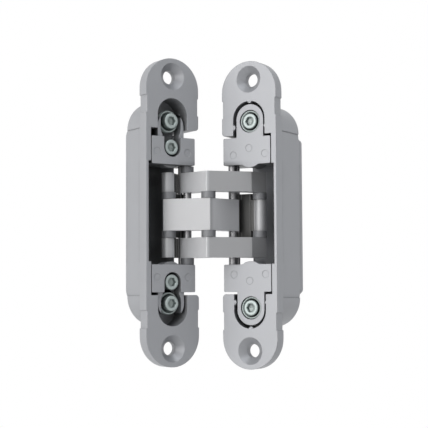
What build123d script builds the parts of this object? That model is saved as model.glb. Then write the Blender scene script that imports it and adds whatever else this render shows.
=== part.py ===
from build123d import *
import math
import os

os.makedirs("parts", exist_ok=True)

# Concealed door hinge, part opened. Millimetres, Z up along the hinge pins.
# The frame side faces -Y. The back of its face plate lies in the plane Y = 0 and its two screw holes on the
# Z line through the origin. The leaf side is turned about Z by leaf_turn from lying flat beside it.
# A place inside a housing is (s, v): s is counted from the housing's inner edge across its face,
# v from the face into the door or the frame.

# plates and bodies
plate_length = 120.0
plate_width = 24.0
plate_thickness = 4.9
body_half_straight = 30.0
body_side_inset = 0.4
frame_depth = 14.9
frame_back_depth = 16.8
frame_back_length = 72.0
leaf_depth = 20.0
leaf_back_depth = 23.2
leaf_back_length = 62.0
back_side_inset = 1.3
back_corner = 2.0
back_wall = 0.9
boss_depth = 10.2
boss_wall = 1.7

# mounting screw holes
hole_end_distance = 7.1
screw_hole_z = plate_length / 2 - hole_end_distance
screw_hole_radius = 2.65
countersink_radius = 5.3

# heights along the pins, each from its neighbour: the grooves stop short of the screw holes, the blocks' forks
# and tongues short of the grooves, and the arms short of the blocks
hole_groove_distance = 8.6
groove_end = screw_hole_z - hole_groove_distance
relief_depth = 0.45
relief_length = 7.0
relief_past_groove = 0.7
relief_end = groove_end + relief_past_groove
relief_start = relief_end - relief_length
tongue_end_gap = 1.3
tongue_end = groove_end - tongue_end_gap
cup_end_distance = 6.7
cup_z = tongue_end - cup_end_distance
fork_end_gap = 3.9
fork_end = groove_end - fork_end_gap
fork_screw_distance = 4.9
height_screw_z = fork_end - fork_screw_distance
fork_reach = 10.25
block_outer_end = fork_end - fork_reach
block_height = 10.7
block_inner_end = block_outer_end - block_height
side_screw_inset = 3.95
side_screw_z = block_outer_end - side_screw_inset
frame_ear_gap = 2.15
frame_ear_end = block_outer_end + frame_ear_gap
leaf_ear_gap = 0.85
leaf_ear_end = block_outer_end + leaf_ear_gap
bearing_gap = 0.05
thin_wall_half_length = block_inner_end - bearing_gap
washer_space = 2.65
outer_arm_outer = block_inner_end - washer_space
outer_arm_inner = outer_arm_outer * 0.53
bush_space = 2.7
middle_arm_half_height = outer_arm_inner - bush_space
leaf_barrel_half_height = middle_arm_half_height + bearing_gap
barrel_end_play = 0.2
barrel_height = outer_arm_outer - outer_arm_inner - barrel_end_play
link_end_gap = 0.3
frame_link_half_height = outer_arm_inner - link_end_gap
leaf_link_half_height = outer_arm_inner - link_end_gap
leaf_fork_inner = middle_arm_half_height + link_end_gap

# openings in the housings
side_wall = 2.2
thin_wall = 1.1
ear_corner = 1.4
frame_groove_radius = 6.7
leaf_groove_radius = 7.0
groove_depth = 8.8
nub_radius = 0.6
nub_depth = 2.4
nub_side_z = 10.1

# adjusting blocks
block_depth = 12.4
frame_block_inset = 1.7
leaf_block_inset = 0.55
block_gap = 0.35
block_corner = 0.5
fork_front = 1.3
fork_back = 6.0
fork_half_width = 5.95
fork_clearance = 0.3
notch_radius = 3.8
notch_depth = 5.2
tongue_half_width = 5.95
tongue_shift = 0.45
tongue_back = 7.4
cup_recess_depth = 4.2
mark_radius = 1.45
mark_depth = 0.12
mark_inset = 5.8
mark_side = 7.0
height_setting = -1.05
height_travel = 1.85

# screws, rings and cups
head_radius = 3.05
head_height = 3.6
socket_radius = 1.55
socket_depth = 1.8
shank_radius = 1.75
side_screw_front = 0.5
side_screw_length = 11.0
height_screw_front = 0.5
height_screw_length = 8.0
ring_radius = 4.3
ring_thickness = 1.5
ring_seat_radius = 3.9
cup_radius = 4.3
cup_wall = 0.75
cup_front = 0.6
depth_screw_front = 0.4
depth_screw_length = 6.6
cup_clearance = 0.12

# mechanism in plan: pins in their own housings, as (s, v)
frame_arm_pin_s = 2.31
frame_arm_pin_v = 4.48
frame_link_pin_s = 3.09
frame_link_pin_v = 8.35
leaf_arm_pin_s = 2.15
leaf_arm_pin_v = 4.26
leaf_link_pin_s = 2.23
leaf_link_pin_v = 8.09
middle_arm_end_s = 10.7
middle_arm_end_v = 5.0
outer_arm_end_s = 11.99
outer_arm_end_v = 8.57
frame_barrel_shift_s = 0.08
frame_barrel_shift_v = 0.42
leaf_barrel_shift_s = 0.06
leaf_barrel_shift_v = 0.48
centre_pin_s = 0.04
centre_pin_v = -7.01

# leaf side at rest: turn from flat, and distance between the inner edges of the two faces
leaf_turn = 65.4
edge_distance = 9.46

# arms, links and pins
washer_radius = 2.6
arm_pin_radius = 1.25
end_pin_radius = 0.85
link_pin_radius = 0.9
arm_corner_radius = 2.55
arm_end_length = 1.4
middle_arm_end_length = 1.8
outer_arm_bend_distance = 16.3
outer_arm_bend_offset = 1.5
arm_half_width = 2.4
arm_edge = 0.35
bush_radius = 2.8
ring_end_radius = 2.75
frame_ring_radius = 2.75
sleeve_radius = 1.65
barrel_radius = 2.3
frame_barrel_radius = 2.5
barrel_bore_radius = 1.55
link_eye_radius = 1.85
link_web = 1.9
fork_play = 0.25
link_step = 0.35
leaf_web_start = 3.5
leaf_wide_web_start = 4.3
leaf_web_pin_distance = 2.2
leaf_web_back_offset = 0.3
frame_web_pin_distance = 2.0
frame_web_back_offset = 0.85
pin_fit = 0.04
pin_end_inset = 0.6

half_width = plate_width / 2
half_turn = math.radians(leaf_turn / 2)
face_y = -plate_thickness
leaf_corner = (half_width + edge_distance * math.cos(half_turn), face_y - edge_distance * math.sin(half_turn))
leaf_angle = math.radians(leaf_turn)
leaf_across = (math.cos(leaf_angle), -math.sin(leaf_angle))
leaf_inward = (math.sin(leaf_angle), math.cos(leaf_angle))
zm = height_setting


def frame_xy(s, v):
    return (half_width - s, face_y + v)


def leaf_xy(s, v):
    return (
        leaf_corner[0] + s * leaf_across[0] + v * leaf_inward[0],
        leaf_corner[1] + s * leaf_across[1] + v * leaf_inward[1],
    )


frame_arm_pin_at = frame_xy(frame_arm_pin_s, frame_arm_pin_v)
frame_link_pin_at = frame_xy(frame_link_pin_s, frame_link_pin_v)
leaf_arm_pin_at = leaf_xy(leaf_arm_pin_s, leaf_arm_pin_v)
leaf_link_pin_at = leaf_xy(leaf_link_pin_s, leaf_link_pin_v)
middle_end_at = frame_xy(middle_arm_end_s, middle_arm_end_v)
outer_end_at = leaf_xy(outer_arm_end_s, outer_arm_end_v)
centre_at = frame_xy(centre_pin_s, centre_pin_v)
frame_barrel_at = frame_xy(middle_arm_end_s + frame_barrel_shift_s, middle_arm_end_v + frame_barrel_shift_v)
leaf_barrel_at = leaf_xy(outer_arm_end_s + leaf_barrel_shift_s, outer_arm_end_v + leaf_barrel_shift_v)

# Face plane of a housing in its own frame: X across, Y up along the pins, Z out of the face.
face_plane = Plane(origin=(0, 0, 0), x_dir=(1, 0, 0), z_dir=(0, -1, 0))
# Where the frame side's own frame lies, and the same at the height of the mechanism's middle.
frame_side = Plane(origin=(0, face_y, 0))
mechanism = Plane(origin=(0, face_y, zm))
# Where the leaf side's own frame lies: middle of its face, X running away from the frame side.
leaf_middle = leaf_xy(half_width, 0)
leaf_frame = Plane(origin=(leaf_middle[0], leaf_middle[1], zm), x_dir=(*leaf_across, 0), z_dir=(0, 0, 1))


def slot_between(a, b, radius):
    # stadium with its two centres at a and b
    length = math.hypot(b[0] - a[0], b[1] - a[1])
    turn = math.degrees(math.atan2(b[1] - a[1], b[0] - a[0]))
    with Locations(((a[0] + b[0]) / 2, (a[1] + b[1]) / 2)):
        SlotCenterToCenter(length, 2 * radius, rotation=turn)


def housing(inner, depth, back_depth, back_length, ear_end, groove_radius, back_straight):
    # One cast housing about its own middle. inner is +1 when the inner edge lies on +X, else -1.
    body_radius = half_width - body_side_inset
    back_half_width = half_width - back_side_inset
    outer = -inner
    with BuildPart() as shell:
        # face plate with round ends
        with BuildSketch(face_plane):
            SlotOverall(plate_length, plate_width, rotation=90)
        extrude(amount=-plate_thickness)
        # body behind the plate
        with BuildSketch(face_plane):
            SlotCenterToCenter(2 * body_half_straight, 2 * body_radius, rotation=90)
        extrude(amount=-depth)
        # back tier
        with BuildSketch(face_plane.offset(-depth)):
            RectangleRounded(2 * back_half_width, back_length, back_straight)
        extrude(amount=-(back_depth - depth))
        # bosses that close the round ends of the grooves
        with BuildSketch(face_plane):
            SlotCenterToCenter(2 * (groove_end - groove_radius), 2 * (groove_radius + boss_wall), rotation=90)
        extrude(amount=-boss_depth)
        # grooves for the tongues, both ends in one slot
        with BuildSketch(face_plane):
            SlotCenterToCenter(2 * (groove_end - groove_radius), 2 * groove_radius, rotation=90)
        extrude(amount=-groove_depth, mode=Mode.SUBTRACT)
        # pocket for the blocks, open to the inner side
        pocket_outer = half_width - side_wall
        with BuildSketch(face_plane):
            with Locations((inner * (half_width - pocket_outer) / 2, 0)):
                Rectangle(half_width + pocket_outer, 2 * ear_end)
        extrude(amount=-(back_depth - back_wall), mode=Mode.SUBTRACT)
        # thinner outer wall beside the arms
        with BuildSketch(face_plane):
            with Locations((outer * (half_width - thin_wall) / 2, 0)):
                Rectangle(half_width - thin_wall, 2 * thin_wall_half_length)
        extrude(amount=-(depth - back_wall), mode=Mode.SUBTRACT)
        # shallow hollows in both long edges of the plate
        with BuildSketch(face_plane):
            for side in (1, -1):
                for end in (1, -1):
                    with Locations((side * half_width, end * (relief_start + relief_end) / 2)):
                        RectangleRounded(2 * relief_depth, relief_end - relief_start, relief_depth * 0.9)
        extrude(amount=-plate_thickness, mode=Mode.SUBTRACT)
        # countersunk mounting holes
        for end in (1, -1):
            with Locations(Plane(origin=(0, 0, end * screw_hole_z), x_dir=(1, 0, 0), z_dir=(0, -1, 0))):
                CounterSinkHole(screw_hole_radius, countersink_radius, depth=plate_thickness, counter_sink_angle=90)
        # rounded free corners of the ears
        with BuildSketch(face_plane):
            for end in (1, -1):
                with Locations((inner * (half_width - ear_corner / 2), end * (ear_end + ear_corner / 2))):
                    Rectangle(ear_corner, ear_corner)
                with Locations((inner * (half_width - ear_corner), end * (ear_end + ear_corner))):
                    Circle(ear_corner, mode=Mode.SUBTRACT)
        extrude(amount=-depth, mode=Mode.SUBTRACT)
    return shell.part


def cap_screw(length):
    # socket cap screw, head front at Z = 0 and looking +Z, shank down
    with BuildPart() as screw:
        with BuildSketch(Plane.XY):
            Circle(head_radius)
        extrude(amount=-head_height)
        with BuildSketch(Plane.XY.offset(-head_height)):
            Circle(shank_radius)
        extrude(amount=-(length - head_height))
        chamfer(screw.edges().filter_by(GeomType.CIRCLE).sort_by(Axis.Z)[-1], 0.3)
        with BuildSketch(Plane.XY):
            RegularPolygon(socket_radius, 6, major_radius=False)
        extrude(amount=-socket_depth, mode=Mode.SUBTRACT)
    return screw.part


def face_location(x, z, front):
    # a place on a housing's own face, looking out of it, sunk by front
    return Plane(origin=(x, front, z), x_dir=(1, 0, 0), z_dir=(0, -1, 0)).location


# The two housings
with BuildPart() as frame_housing_own:
    add(housing(1, frame_depth, frame_back_depth, frame_back_length, frame_ear_end,
                frame_groove_radius, 3 * back_corner))
    # seats for the height screws' rings, standing on the groove floors
    for end in (1, -1):
        with BuildSketch(face_plane.offset(-groove_depth)):
            with Locations((0, end * height_screw_z)):
                Circle(ring_seat_radius)
        extrude(amount=groove_depth - height_screw_front - head_height - ring_thickness)
        with BuildSketch(face_plane):
            with Locations((0, end * height_screw_z)):
                Circle(shank_radius + pin_fit)
        extrude(amount=-(height_screw_front + height_screw_length + 0.3), mode=Mode.SUBTRACT)
with BuildPart() as frame_housing:
    add(frame_side.location * frame_housing_own.part)
frame_housing.part.label = "frame_housing"
export_step(frame_housing.part, "parts/frame_housing.step")

with BuildPart() as leaf_housing_own:
    add(housing(-1, leaf_depth, leaf_back_depth, leaf_back_length, leaf_ear_end,
                leaf_groove_radius, back_corner))
    # centring nubs on the walls of both grooves
    with BuildSketch(face_plane):
        for end in (1, -1):
            with Locations((0, end * (groove_end + nub_radius / 3)),
                           (leaf_groove_radius + nub_radius / 3, end * (groove_end - nub_side_z)),
                           (-leaf_groove_radius - nub_radius / 3, end * (groove_end - nub_side_z))):
                Circle(nub_radius)
    extrude(amount=-nub_depth)
with BuildPart() as leaf_housing:
    add(leaf_frame.location * leaf_housing_own.part)
leaf_housing.part.label = "leaf_housing"
export_step(leaf_housing.part, "parts/leaf_housing.step")


def frame_block(end):
    # Adjusting block of the frame side, about the mechanism's middle, in the frame housing's own frame.
    block_x0 = -(half_width - side_wall - block_gap)
    block_x1 = half_width - frame_block_inset
    middle_z = end * (block_inner_end + block_outer_end) / 2
    with BuildPart() as block:
        with BuildSketch(face_plane):
            with Locations(((block_x0 + block_x1) / 2, middle_z)):
                RectangleRounded(block_x1 - block_x0, block_outer_end - block_inner_end, block_corner)
        extrude(amount=-block_depth)
        # fork that reaches round the height screw
        with BuildSketch(face_plane.offset(-fork_front)):
            slot_between((0, end * (block_outer_end - fork_half_width)), (0, end * (fork_end - fork_half_width)),
                         fork_half_width)
        extrude(amount=-(fork_back - fork_front))
        with BuildSketch(face_plane):
            slot_between((0, end * (height_screw_z - height_travel)), (0, end * (fork_end + ring_radius)),
                         ring_radius + fork_clearance)
        extrude(amount=-block_depth, mode=Mode.SUBTRACT)
        # U notch for the side screw
        with BuildSketch(face_plane):
            slot_between((0, end * side_screw_z), (0, end * (block_outer_end + notch_radius)), notch_radius)
        extrude(amount=-notch_depth, mode=Mode.SUBTRACT)
        with BuildSketch(face_plane):
            with Locations((0, end * side_screw_z)):
                Circle(shank_radius + pin_fit)
        extrude(amount=-(side_screw_front + side_screw_length + 0.3), mode=Mode.SUBTRACT)
        # bores for the two pins
        with BuildSketch(Plane.XY.offset(end * (block_inner_end - 1))):
            with Locations((half_width - frame_arm_pin_s, frame_arm_pin_v)):
                Circle(arm_pin_radius + pin_fit)
            with Locations((half_width - frame_link_pin_s, frame_link_pin_v)):
                Circle(link_pin_radius + pin_fit)
        extrude(amount=end * (block_height + 2), mode=Mode.SUBTRACT)
        # shallow round marks that the casting's ejector pins leave
        with BuildSketch(face_plane):
            with Locations((mark_side, end * (block_outer_end - mark_inset)),
                           (-mark_side, end * (block_outer_end - mark_inset))):
                Circle(mark_radius)
        extrude(amount=-mark_depth, mode=Mode.SUBTRACT)
    return block.part


def leaf_block(end):
    # Adjusting block of the leaf side, about the mechanism's middle, in the leaf housing's own frame.
    block_x0 = -(half_width - leaf_block_inset)
    block_x1 = half_width - side_wall - block_gap
    middle_z = end * (block_inner_end + block_outer_end) / 2
    with BuildPart() as block:
        with BuildSketch(face_plane):
            with Locations(((block_x0 + block_x1) / 2, middle_z)):
                RectangleRounded(block_x1 - block_x0, block_outer_end - block_inner_end, block_corner)
        extrude(amount=-block_depth)
        with BuildSketch(face_plane):
            slot_between((tongue_shift, end * (block_outer_end - tongue_half_width)),
                         (tongue_shift, end * (tongue_end - tongue_half_width)), tongue_half_width)
        extrude(amount=-tongue_back)
        # round recess with the threaded cup
        with BuildSketch(face_plane):
            with Locations((tongue_shift, end * cup_z)):
                Circle(cup_radius + cup_clearance)
        extrude(amount=-cup_recess_depth, mode=Mode.SUBTRACT)
        with BuildSketch(face_plane):
            with Locations((tongue_shift, end * cup_z)):
                Circle(shank_radius + pin_fit)
        extrude(amount=-(tongue_back + 1), mode=Mode.SUBTRACT)
        # bores for the two pins
        with BuildSketch(Plane.XY.offset(end * (block_inner_end - 1))):
            with Locations((leaf_arm_pin_s - half_width, leaf_arm_pin_v)):
                Circle(arm_pin_radius + pin_fit)
            with Locations((leaf_link_pin_s - half_width, leaf_link_pin_v)):
                Circle(link_pin_radius + pin_fit)
        extrude(amount=end * (block_height + 2), mode=Mode.SUBTRACT)
        # shallow round marks that the casting's ejector pins leave
        with BuildSketch(face_plane):
            with Locations((mark_side, end * (block_outer_end - mark_inset - 1)),
                           (-mark_side, end * (block_outer_end - mark_inset - 1)),
                           (0, end * (block_outer_end - mark_inset + 1.5))):
                Circle(mark_radius)
        extrude(amount=-mark_depth, mode=Mode.SUBTRACT)
    return block.part


with BuildPart() as frame_block_upper:
    add(mechanism.location * frame_block(1))
frame_block_upper.part.label = "frame_block_upper"
export_step(frame_block_upper.part, "parts/frame_block_upper.step")

with BuildPart() as frame_block_lower:
    add(mechanism.location * frame_block(-1))
frame_block_lower.part.label = "frame_block_lower"
export_step(frame_block_lower.part, "parts/frame_block_lower.step")

with BuildPart() as leaf_block_upper:
    add(leaf_frame.location * leaf_block(1))
leaf_block_upper.part.label = "leaf_block_upper"
export_step(leaf_block_upper.part, "parts/leaf_block_upper.step")

with BuildPart() as leaf_block_lower:
    add(leaf_frame.location * leaf_block(-1))
leaf_block_lower.part.label = "leaf_block_lower"
export_step(leaf_block_lower.part, "parts/leaf_block_lower.step")

# Outer arms: from the frame arm pin over the centre pin, with a second bend, to the leaf link.
run = (outer_end_at[0] - centre_at[0], outer_end_at[1] - centre_at[1])
run_length = math.hypot(*run)
run_unit = (run[0] / run_length, run[1] / run_length)
outer_bend_at = (
    centre_at[0] + run_unit[0] * outer_arm_bend_distance + run_unit[1] * outer_arm_bend_offset,
    centre_at[1] + run_unit[1] * outer_arm_bend_distance - run_unit[0] * outer_arm_bend_offset,
)


def toward(a, b):
    # unit vector from a to b
    length = math.hypot(b[0] - a[0], b[1] - a[1])
    return ((b[0] - a[0]) / length, (b[1] - a[1]) / length)


def bent_bar(points, first_end, last_end):
    # flat-sided bar along a bent centre line: mitred corners, square ends past the first and last pins
    runs = [toward(a, b) for a, b in zip(points, points[1:])]
    befores = [runs[0]] + runs
    afters = runs + [runs[-1]]
    reaches = [-first_end] + [0] * (len(points) - 2) + [last_end]
    left, right = [], []
    for (x, y), before, after, reach in zip(points, befores, afters, reaches):
        normal = (-before[1] - after[1], before[0] + after[0])
        mitre = arm_half_width / (normal[1] * before[0] - normal[0] * before[1])
        x, y = x + before[0] * reach, y + before[1] * reach
        left.append((x + normal[0] * mitre, y + normal[1] * mitre))
        right.append((x - normal[0] * mitre, y - normal[1] * mitre))
    Polygon(*left, *reversed(right), align=None)


def outer_arm(end):
    with BuildPart() as arm:
        with BuildSketch(Plane.XY.offset(zm + end * outer_arm_inner)) as profile:
            bent_bar([frame_arm_pin_at, centre_at, outer_bend_at, outer_end_at], arm_end_length, arm_end_length)
            fillet(profile.vertices(), arm_edge)
            with Locations(frame_arm_pin_at, centre_at):
                Circle(arm_pin_radius + pin_fit, mode=Mode.SUBTRACT)
            with Locations(outer_end_at):
                Circle(end_pin_radius + pin_fit, mode=Mode.SUBTRACT)
        extrude(amount=end * (outer_arm_outer - outer_arm_inner))
    return arm.part


with BuildPart() as outer_arm_upper:
    add(outer_arm(1))
outer_arm_upper.part.label = "outer_arm_upper"
export_step(outer_arm_upper.part, "parts/outer_arm_upper.step")

with BuildPart() as outer_arm_lower:
    add(outer_arm(-1))
outer_arm_lower.part.label = "outer_arm_lower"
export_step(outer_arm_lower.part, "parts/outer_arm_lower.step")

# Middle arm: from the leaf arm pin over the centre pin to the frame link.
with BuildPart() as middle_arm:
    with BuildSketch(Plane.XY.offset(zm - middle_arm_half_height)) as profile:
        bent_bar([leaf_arm_pin_at, centre_at, middle_end_at], arm_end_length, middle_arm_end_length)
        fillet(profile.vertices(), arm_edge)
        with Locations(leaf_arm_pin_at, centre_at):
            Circle(arm_pin_radius + pin_fit, mode=Mode.SUBTRACT)
        with Locations(middle_end_at):
            Circle(end_pin_radius + pin_fit, mode=Mode.SUBTRACT)
    extrude(amount=2 * middle_arm_half_height)
middle_arm.part.label = "middle_arm"
export_step(middle_arm.part, "parts/middle_arm.step")

# Frame link: two barrels at the middle arm's end, a web, and one eye on the frame link pin.
web_direction = (frame_link_pin_at[0] - frame_barrel_at[0], frame_link_pin_at[1] - frame_barrel_at[1])
web_length = math.hypot(*web_direction)
web_unit = (web_direction[0] / web_length, web_direction[1] / web_length)
web_turn = math.degrees(math.atan2(web_unit[1], web_unit[0]))
fork_clear = arm_corner_radius + barrel_bore_radius - end_pin_radius + fork_play

def along_web(distance):
    # a place on the line from the frame link's barrels towards its eye
    return (frame_barrel_at[0] + web_unit[0] * distance, frame_barrel_at[1] + web_unit[1] * distance)


frame_web_end = (
    frame_link_pin_at[0] - web_unit[0] * frame_web_pin_distance - web_unit[1] * frame_web_back_offset,
    frame_link_pin_at[1] - web_unit[1] * frame_web_pin_distance + web_unit[0] * frame_web_back_offset,
)
with BuildPart() as frame_link:
    for end in (1, -1):
        with BuildSketch(Plane.XY.offset(zm + end * outer_arm_inner)):
            with Locations(frame_barrel_at):
                Circle(frame_barrel_radius)
            # web behind the outer arm's end, set back from it
            slot_between(along_web(frame_barrel_radius - link_web / 2), frame_web_end, link_web / 2)
        extrude(amount=end * barrel_height)
        # step that joins the barrel's web to the middle web, past the middle arm's end
        with BuildSketch(Plane.XY.offset(zm + end * (frame_link_half_height - 1))):
            with Locations(along_web(fork_clear + link_step / 2)):
                Rectangle(link_step, link_web, rotation=web_turn)
        extrude(amount=end * (outer_arm_inner + barrel_height - frame_link_half_height + 1))
    with BuildSketch(Plane.XY.offset(zm - frame_link_half_height)):
        with Locations(along_web((fork_clear + web_length) / 2)):
            Rectangle(web_length - fork_clear, link_web, rotation=web_turn)
        with Locations(frame_link_pin_at):
            Circle(link_eye_radius)
    extrude(amount=2 * frame_link_half_height)
    with BuildSketch(Plane.XY.offset(zm - outer_arm_outer - 1)):
        with Locations(frame_barrel_at):
            Circle(barrel_bore_radius)
        with Locations(frame_link_pin_at):
            Circle(link_pin_radius + pin_fit)
    extrude(amount=2 * (outer_arm_outer + 1), mode=Mode.SUBTRACT)
frame_link.part.label = "frame_link"
export_step(frame_link.part, "parts/frame_link.step")

# Leaf link: one barrel between the outer arms, a wide web, and two ears on the leaf link pin.
leaf_web = (leaf_link_pin_at[0] - leaf_barrel_at[0], leaf_link_pin_at[1] - leaf_barrel_at[1])
leaf_web_length = math.hypot(*leaf_web)
leaf_unit = (leaf_web[0] / leaf_web_length, leaf_web[1] / leaf_web_length)
leaf_web_end = (
    leaf_link_pin_at[0] - leaf_unit[0] * leaf_web_pin_distance + leaf_unit[1] * leaf_web_back_offset,
    leaf_link_pin_at[1] - leaf_unit[1] * leaf_web_pin_distance - leaf_unit[0] * leaf_web_back_offset,
)
with BuildPart() as leaf_link:
    with BuildSketch(Plane.XY.offset(zm - leaf_barrel_half_height)):
        with Locations(leaf_barrel_at):
            Circle(barrel_radius)
        slot_between(leaf_barrel_at,
                     (leaf_barrel_at[0] + leaf_unit[0] * leaf_web_start,
                      leaf_barrel_at[1] + leaf_unit[1] * leaf_web_start),
                     link_web / 2)
    extrude(amount=2 * leaf_barrel_half_height)
    with BuildSketch(Plane.XY.offset(zm - leaf_link_half_height)):
        slot_between(
            (leaf_barrel_at[0] + leaf_unit[0] * leaf_wide_web_start,
             leaf_barrel_at[1] + leaf_unit[1] * leaf_wide_web_start),
            leaf_web_end, link_web / 2)
    extrude(amount=2 * leaf_link_half_height)
    for end in (1, -1):
        with BuildSketch(Plane.XY.offset(zm + end * leaf_fork_inner)):
            slot_between(leaf_web_end, leaf_link_pin_at, link_web / 2)
            with Locations(leaf_link_pin_at):
                Circle(link_eye_radius)
        extrude(amount=end * (leaf_link_half_height - leaf_fork_inner))
    with BuildSketch(Plane.XY.offset(zm - outer_arm_outer)):
        with Locations(leaf_barrel_at):
            Circle(barrel_bore_radius)
        with Locations(leaf_link_pin_at):
            Circle(link_pin_radius + pin_fit)
    extrude(amount=2 * outer_arm_outer, mode=Mode.SUBTRACT)
leaf_link.part.label = "leaf_link"
export_step(leaf_link.part, "parts/leaf_link.step")


def pin(at, radius, half_length):
    with BuildPart() as rod:
        with BuildSketch(Plane.XY.offset(zm - half_length)):
            with Locations(at):
                Circle(radius)
        extrude(amount=2 * half_length)
    return rod.part


carried_half_length = block_outer_end - pin_end_inset
with BuildPart() as frame_arm_pin:
    add(pin(frame_arm_pin_at, arm_pin_radius, carried_half_length))
frame_arm_pin.part.label = "frame_arm_pin"
export_step(frame_arm_pin.part, "parts/frame_arm_pin.step")

with BuildPart() as frame_link_pin:
    add(pin(frame_link_pin_at, link_pin_radius, carried_half_length))
frame_link_pin.part.label = "frame_link_pin"
export_step(frame_link_pin.part, "parts/frame_link_pin.step")

with BuildPart() as leaf_arm_pin:
    add(pin(leaf_arm_pin_at, arm_pin_radius, carried_half_length))
leaf_arm_pin.part.label = "leaf_arm_pin"
export_step(leaf_arm_pin.part, "parts/leaf_arm_pin.step")

with BuildPart() as leaf_link_pin:
    add(pin(leaf_link_pin_at, link_pin_radius, carried_half_length))
leaf_link_pin.part.label = "leaf_link_pin"
export_step(leaf_link_pin.part, "parts/leaf_link_pin.step")

with BuildPart() as centre_pin:
    add(pin(centre_at, arm_pin_radius, outer_arm_outer - 0.2))
centre_pin.part.label = "centre_pin"
export_step(centre_pin.part, "parts/centre_pin.step")

with BuildPart() as middle_arm_end_pin:
    add(pin(middle_end_at, end_pin_radius, outer_arm_inner + barrel_height - 0.2))
middle_arm_end_pin.part.label = "middle_arm_end_pin"
export_step(middle_arm_end_pin.part, "parts/middle_arm_end_pin.step")

with BuildPart() as outer_arm_end_pin:
    add(pin(outer_end_at, end_pin_radius, outer_arm_outer - 0.2))
outer_arm_end_pin.part.label = "outer_arm_end_pin"
export_step(outer_arm_end_pin.part, "parts/outer_arm_end_pin.step")


def rings(at, inner_radius, outer_radius, low, high):
    # two equal rings, one above and one below the mechanism's middle
    with BuildPart() as pair:
        for end in (1, -1):
            with BuildSketch(Plane.XY.offset(zm + end * low)):
                with Locations(at):
                    Circle(outer_radius)
                    Circle(inner_radius, mode=Mode.SUBTRACT)
            extrude(amount=end * (high - low))
    return pair.part


with BuildPart() as centre_bushes:
    add(rings(centre_at, arm_pin_radius + pin_fit, bush_radius,
              middle_arm_half_height + bearing_gap, outer_arm_inner - bearing_gap))
centre_bushes.part.label = "centre_bushes"
export_step(centre_bushes.part, "parts/centre_bushes.step")

with BuildPart() as middle_arm_end_rings:
    add(rings(middle_end_at, end_pin_radius + pin_fit, frame_ring_radius,
              middle_arm_half_height + bearing_gap, outer_arm_inner - bearing_gap))
middle_arm_end_rings.part.label = "middle_arm_end_rings"
export_step(middle_arm_end_rings.part, "parts/middle_arm_end_rings.step")

with BuildPart() as outer_arm_end_rings:
    add(rings(outer_end_at, end_pin_radius + pin_fit, ring_end_radius,
              leaf_barrel_half_height + bearing_gap, outer_arm_inner - bearing_gap))
outer_arm_end_rings.part.label = "outer_arm_end_rings"
export_step(outer_arm_end_rings.part, "parts/outer_arm_end_rings.step")

with BuildPart() as frame_arm_washers:
    add(rings(frame_arm_pin_at, arm_pin_radius + pin_fit, washer_radius,
              outer_arm_outer + bearing_gap, block_inner_end - bearing_gap))
frame_arm_washers.part.label = "frame_arm_washers"
export_step(frame_arm_washers.part, "parts/frame_arm_washers.step")

with BuildPart() as frame_arm_sleeve:
    with BuildSketch(Plane.XY.offset(zm - outer_arm_inner + bearing_gap)):
        with Locations(frame_arm_pin_at):
            Circle(sleeve_radius)
            Circle(arm_pin_radius + pin_fit, mode=Mode.SUBTRACT)
    extrude(amount=2 * (outer_arm_inner - bearing_gap))
frame_arm_sleeve.part.label = "frame_arm_sleeve"
export_step(frame_arm_sleeve.part, "parts/frame_arm_sleeve.step")

with BuildPart() as leaf_arm_sleeves:
    add(rings(leaf_arm_pin_at, arm_pin_radius + pin_fit, sleeve_radius,
              middle_arm_half_height + bearing_gap, block_inner_end - bearing_gap))
leaf_arm_sleeves.part.label = "leaf_arm_sleeves"
export_step(leaf_arm_sleeves.part, "parts/leaf_arm_sleeves.step")

# Screws, rings and cups, in pairs
side_screw = cap_screw(side_screw_length)
with BuildPart() as side_screws:
    for end in (1, -1):
        add(mechanism.location * face_location(0, end * side_screw_z, side_screw_front) * side_screw)
side_screws.part.label = "side_screws"
export_step(side_screws.part, "parts/side_screws.step")

height_screw = cap_screw(height_screw_length)
with BuildPart() as height_screws:
    for end in (1, -1):
        add(frame_side.location * face_location(0, end * height_screw_z, height_screw_front) * height_screw)
height_screws.part.label = "height_screws"
export_step(height_screws.part, "parts/height_screws.step")

with BuildPart() as ring_own:
    with BuildSketch(face_plane.offset(-height_screw_front - head_height)):
        Circle(ring_radius)
        Circle(shank_radius + pin_fit, mode=Mode.SUBTRACT)
    extrude(amount=-ring_thickness)
with BuildPart() as height_rings:
    for end in (1, -1):
        add(frame_side.location * Location((0, 0, end * height_screw_z)) * ring_own.part)
height_rings.part.label = "height_rings"
export_step(height_rings.part, "parts/height_rings.step")

depth_screw = cap_screw(depth_screw_length)
with BuildPart() as depth_screws:
    for end in (1, -1):
        add(leaf_frame.location * face_location(tongue_shift, end * cup_z, depth_screw_front) * depth_screw)
depth_screws.part.label = "depth_screws"
export_step(depth_screws.part, "parts/depth_screws.step")

with BuildPart() as cup_own:
    with BuildSketch(face_plane.offset(-cup_front)):
        Circle(cup_radius)
        Circle(cup_radius - cup_wall, mode=Mode.SUBTRACT)
    extrude(amount=-(cup_recess_depth - cup_front))
with BuildPart() as depth_cups:
    for end in (1, -1):
        add(leaf_frame.location * Location((tongue_shift, 0, end * cup_z)) * cup_own.part)
depth_cups.part.label = "depth_cups"
export_step(depth_cups.part, "parts/depth_cups.step")
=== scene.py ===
"""Concealed door hinge: finishes, small metal parts and a plain studio, laid out as a Blender add-on."""

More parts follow.
